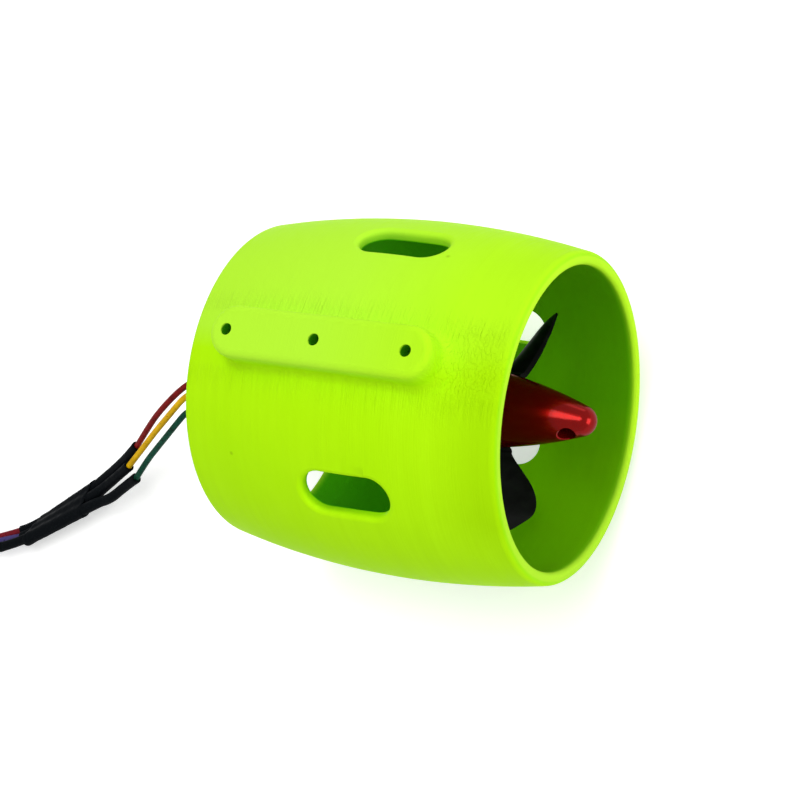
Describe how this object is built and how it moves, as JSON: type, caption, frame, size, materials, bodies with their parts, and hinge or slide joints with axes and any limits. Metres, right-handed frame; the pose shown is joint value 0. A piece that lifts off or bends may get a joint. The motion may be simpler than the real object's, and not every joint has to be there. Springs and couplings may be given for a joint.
{
  "type": "underwater thruster",
  "caption": "Ducted propeller thruster with a screw-on pad, a slotted barrel-shaped duct, a brushless motor inside and three motor wires.",
  "frame": {"origin": "centre of the mounting pad's middle hole, on the pad's outer face", "axes": "+X along the shaft from the intake to the outlet, +Z out of the pad's face"},
  "size_m": [0.2684, 0.1152, 0.0977],
  "materials": {
    "lime_plastic": "satin",
    "black_plastic": "satin",
    "red_anodised": "satin",
    "bare_aluminium": "satin",
    "can_steel": "satin",
    "screw_steel": "satin",
    "bearing_steel": "polished",
    "shaft_steel": "polished",
    "lamination_steel": "matte",
    "enamelled_copper": "gloss",
    "magnet_nickel": "polished",
    "silicone_red": "matte",
    "silicone_yellow": "matte",
    "silicone_green": "matte",
    "heat_shrink": "satin",
    "extension_red": "matte",
    "extension_blue": "matte",
    "extension_black": "matte",
    "strap": "matte",
    "gold_plate": "polished"
  },
  "bodies": {
    "housing": {"duct": "lime_plastic", "motor_base": "bare_aluminium", "motor_screws": "screw_steel", "rear_bearing": "bearing_steel", "front_bearing": "bearing_steel", "stator_core": "lamination_steel", "stator_coils": "enamelled_copper", "lead_red": "silicone_red", "lead_yellow": "silicone_yellow", "lead_green": "silicone_green", "splice_red": "heat_shrink", "splice_yellow": "heat_shrink", "splice_green": "heat_shrink", "bundle_sleeve": "heat_shrink", "extension_red": "extension_red", "extension_blue": "extension_blue", "extension_black": "extension_black", "cable_coil": "extension_black", "coil_tie": "strap", "tail_red": "extension_red", "tail_blue": "extension_blue", "tail_black": "extension_black", "bullet_cover_red": "heat_shrink", "bullet_cover_blue": "heat_shrink", "bullet_cover_black": "heat_shrink", "bullet_red": "gold_plate", "bullet_blue": "gold_plate", "bullet_black": "gold_plate"},
    "rotor": {"flux_ring": "can_steel", "magnets": "magnet_nickel", "end_cap": "bare_aluminium", "shaft": "shaft_steel", "circlip": "screw_steel", "shim": "shaft_steel", "propeller_adapter": "bare_aluminium", "adapter_screws": "screw_steel", "propeller": "black_plastic", "washer": "shaft_steel", "spinner_nut": "red_anodised"}
  },
  "joints": [
    {"name": "propeller_spin", "type": "hinge", "parent": "housing", "child": "rotor", "pos_m": [0, 0, -0.052], "axis": [1, 0, 0], "continuous": true}
  ]
}
